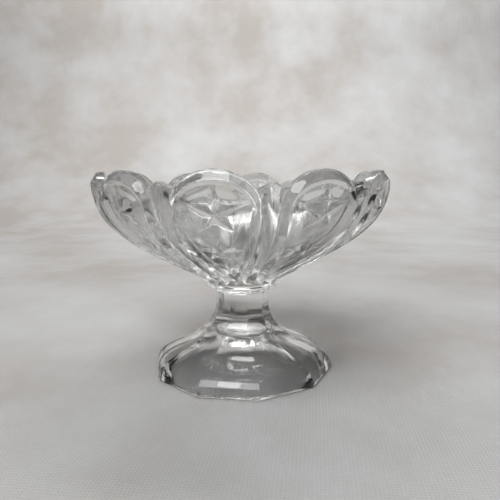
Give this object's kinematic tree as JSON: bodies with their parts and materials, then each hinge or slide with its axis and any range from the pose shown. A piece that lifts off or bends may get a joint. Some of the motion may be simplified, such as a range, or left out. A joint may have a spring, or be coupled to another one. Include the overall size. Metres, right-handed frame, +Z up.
{
  "type": "dappen dish",
  "caption": "Small clear pressed-glass footed dish: scalloped bowl with star panels, faceted joining wafer and hollow faceted pedestal, for holding small amounts of liquid or powder.",
  "frame": {"origin": "on the dish's axis, in the plane of the standing rim", "axes": "+Z up along the dish's axis, -Y towards one flat panel of the foot and one lobe of the bowl"},
  "size_m": [0.0646, 0.0646, 0.0449],
  "materials": {
    "bowl_glass": "clear, fire-polished",
    "wafer_glass": "clear, fire-polished",
    "pedestal_glass": "clear, fire-polished"
  },
  "bodies": {
    "root": {"bowl": "bowl_glass", "wafer": "wafer_glass", "pedestal": "pedestal_glass"}
  },
  "joints": []
}
